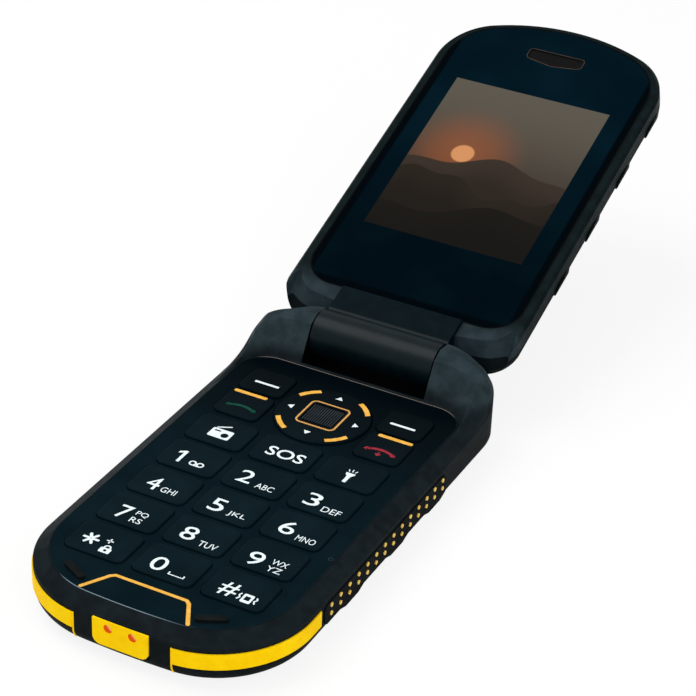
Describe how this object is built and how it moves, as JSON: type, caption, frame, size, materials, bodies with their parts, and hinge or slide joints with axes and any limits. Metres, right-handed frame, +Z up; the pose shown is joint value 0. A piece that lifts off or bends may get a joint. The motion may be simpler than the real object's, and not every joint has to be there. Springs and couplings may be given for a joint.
{
  "type": "flip_phone",
  "caption": "Rugged clamshell mobile phone standing open, glossy dark keypad, yellow corner bumpers, tinted inner display lens",
  "frame": {"origin": "centre of the rest face, the flat back of the keypad half, below the middle of the body", "axes": "+X to the user's right across the keypad, +Y from the chin towards the hinge, +Z up out of the keypad"},
  "size_m": [0.0557, 0.1923, 0.0503],
  "materials": {
    "shell_matte": "fine matte texture",
    "plate_gloss": "piano black with a teal cast",
    "key_gloss": "glossy",
    "rubber_yellow": "soft matte",
    "rubber_black": "soft matte",
    "lens_glass": "dark tinted gloss",
    "gold_trim": "satin",
    "copper_contact": "plated",
    "frame_grey": "matte paint",
    "steel": "plain",
    "board_green": "solder mask",
    "can_metal": "bright",
    "battery_wrap": "printed wrap, bare",
    "silicone": "translucent grey",
    "mesh_metal": "woven",
    "display_module": "lit panel",
    "flash_yellow": "diffuser"
  },
  "bodies": {
    "base": {"front_shell": "shell_matte", "back_shell": "shell_matte", "keypad_plate": "plate_gloss", "key_membrane": "silicone", "key_domes": "steel", "main_board": "board_green", "board_cans": "can_metal", "battery": "battery_wrap", "power_contacts": "copper_contact", "speaker_antenna": "rubber_black", "vibration_motor": "steel", "side_connectors": "steel", "casing_screws": "steel", "hinge_bush": "steel", "hinge_module": "steel", "hinge_cable": "rubber_black", "corner_bumpers": "rubber_yellow", "contact_plate": "rubber_yellow", "side_grips": "rubber_black", "grip_studs": "rubber_yellow"},
    "lid": {"lid_frame": "frame_grey", "lid_shell": "shell_matte", "lid_grips": "rubber_black", "lens_plate": "lens_glass", "earpiece_mesh": "mesh_metal", "earpiece": "rubber_black", "lid_displays": "display_module", "lid_board": "board_green", "outer_lens": "lens_glass", "camera": "rubber_black", "flash_light": "flash_yellow", "lid_magnet": "steel", "hinge_cam": "steel", "lid_screws": "steel"},
    "nav_gimbal_body": {"nav_gimbal": "steel"},
    "nav_ring_body": {"nav_ring": "key_gloss", "nav_frame": "gold_trim"},
    "back_cover_body": {"back_cover": "shell_matte"},
    "usb_cover_body": {"usb_cover": "rubber_black"},
    "side_key_body": {"side_key": "rubber_black"},
    "ok_key_body": {"ok_key": "key_gloss"},
    "soft_left_body": {"soft_left": "key_gloss"},
    "soft_right_body": {"soft_right": "key_gloss"},
    "call_key_body": {"call_key": "key_gloss"},
    "end_key_body": {"end_key": "key_gloss"},
    "radio_key_body": {"radio_key": "key_gloss"},
    "sos_key_body": {"sos_key": "key_gloss"},
    "torch_key_body": {"torch_key": "key_gloss"},
    "key_1_body": {"key_1": "key_gloss"},
    "key_2_body": {"key_2": "key_gloss"},
    "key_3_body": {"key_3": "key_gloss"},
    "key_4_body": {"key_4": "key_gloss"},
    "key_5_body": {"key_5": "key_gloss"},
    "key_6_body": {"key_6": "key_gloss"},
    "key_7_body": {"key_7": "key_gloss"},
    "key_8_body": {"key_8": "key_gloss"},
    "key_9_body": {"key_9": "key_gloss"},
    "key_star_body": {"key_star": "key_gloss"},
    "key_0_body": {"key_0": "key_gloss"},
    "key_hash_body": {"key_hash": "key_gloss"}
  },
  "joints": [
    {"name": "lid_hinge", "type": "hinge", "parent": "base", "child": "lid", "pos_m": [0, 0.0472, 0.0142], "axis": [1, 0, 0], "range_deg": [0, 159.7]},
    {"name": "back_cover_lift", "type": "slide", "parent": "base", "child": "back_cover_body", "axis": [0, 0, -1], "range_m": [0, 0.008]},
    {"name": "usb_flap_hinge", "type": "hinge", "parent": "base", "child": "usb_cover_body", "pos_m": [-0.0272, 0.0009, 0.0042], "axis": [0, -1, 0], "range_deg": [0, 95]},
    {"name": "side_key_press", "type": "slide", "parent": "base", "child": "side_key_body", "axis": [1, 0, 0], "range_m": [0, 0.00035], "stiffness_N_per_m": 150},
    {"name": "nav_tilt_sideways", "type": "hinge", "parent": "base", "child": "nav_gimbal_body", "pos_m": [0, 0.02295, 0.00915], "axis": [0, 1, 0], "range_deg": [-1.2, 1.2], "stiffness_Nm_per_rad": 0.3},
    {"name": "nav_tilt_lengthwise", "type": "hinge", "parent": "nav_gimbal_body", "child": "nav_ring_body", "pos_m": [0, 0.02295, 0.00915], "axis": [1, 0, 0], "range_deg": [-1.2, 1.2], "stiffness_Nm_per_rad": 0.3},
    {"name": "ok_key_press", "type": "slide", "parent": "base", "child": "ok_key_body", "axis": [0, 0, -1], "range_m": [0, 0.0002], "stiffness_N_per_m": 150},
    {"name": "soft_left_press", "type": "slide", "parent": "base", "child": "soft_left_body", "axis": [0, 0, -1], "range_m": [0, 0.00025], "stiffness_N_per_m": 150},
    {"name": "soft_right_press", "type": "slide", "parent": "base", "child": "soft_right_body", "axis": [0, 0, -1], "range_m": [0, 0.00025], "stiffness_N_per_m": 150},
    {"name": "call_key_press", "type": "slide", "parent": "base", "child": "call_key_body", "axis": [0, 0, -1], "range_m": [0, 0.00025], "stiffness_N_per_m": 150},
    {"name": "end_key_press", "type": "slide", "parent": "base", "child": "end_key_body", "axis": [0, 0, -1], "range_m": [0, 0.00025], "stiffness_N_per_m": 150},
    {"name": "radio_key_press", "type": "slide", "parent": "base", "child": "radio_key_body", "axis": [0, 0, -1], "range_m": [0, 0.00025], "stiffness_N_per_m": 150},
    {"name": "sos_key_press", "type": "slide", "parent": "base", "child": "sos_key_body", "axis": [0, 0, -1], "range_m": [0, 0.00025], "stiffness_N_per_m": 150},
    {"name": "torch_key_press", "type": "slide", "parent": "base", "child": "torch_key_body", "axis": [0, 0, -1], "range_m": [0, 0.00025], "stiffness_N_per_m": 150},
    {"name": "key_1_press", "type": "slide", "parent": "base", "child": "key_1_body", "axis": [0, 0, -1], "range_m": [0, 0.00025], "stiffness_N_per_m": 150},
    {"name": "key_2_press", "type": "slide", "parent": "base", "child": "key_2_body", "axis": [0, 0, -1], "range_m": [0, 0.00025], "stiffness_N_per_m": 150},
    {"name": "key_3_press", "type": "slide", "parent": "base", "child": "key_3_body", "axis": [0, 0, -1], "range_m": [0, 0.00025], "stiffness_N_per_m": 150},
    {"name": "key_4_press", "type": "slide", "parent": "base", "child": "key_4_body", "axis": [0, 0, -1], "range_m": [0, 0.00025], "stiffness_N_per_m": 150},
    {"name": "key_5_press", "type": "slide", "parent": "base", "child": "key_5_body", "axis": [0, 0, -1], "range_m": [0, 0.00025], "stiffness_N_per_m": 150},
    {"name": "key_6_press", "type": "slide", "parent": "base", "child": "key_6_body", "axis": [0, 0, -1], "range_m": [0, 0.00025], "stiffness_N_per_m": 150},
    {"name": "key_7_press", "type": "slide", "parent": "base", "child": "key_7_body", "axis": [0, 0, -1], "range_m": [0, 0.00025], "stiffness_N_per_m": 150},
    {"name": "key_8_press", "type": "slide", "parent": "base", "child": "key_8_body", "axis": [0, 0, -1], "range_m": [0, 0.00025], "stiffness_N_per_m": 150},
    {"name": "key_9_press", "type": "slide", "parent": "base", "child": "key_9_body", "axis": [0, 0, -1], "range_m": [0, 0.00025], "stiffness_N_per_m": 150},
    {"name": "key_star_press", "type": "slide", "parent": "base", "child": "key_star_body", "axis": [0, 0, -1], "range_m": [0, 0.00025], "stiffness_N_per_m": 150},
    {"name": "key_0_press", "type": "slide", "parent": "base", "child": "key_0_body", "axis": [0, 0, -1], "range_m": [0, 0.00025], "stiffness_N_per_m": 150},
    {"name": "key_hash_press", "type": "slide", "parent": "base", "child": "key_hash_body", "axis": [0, 0, -1], "range_m": [0, 0.00025], "stiffness_N_per_m": 150}
  ]
}
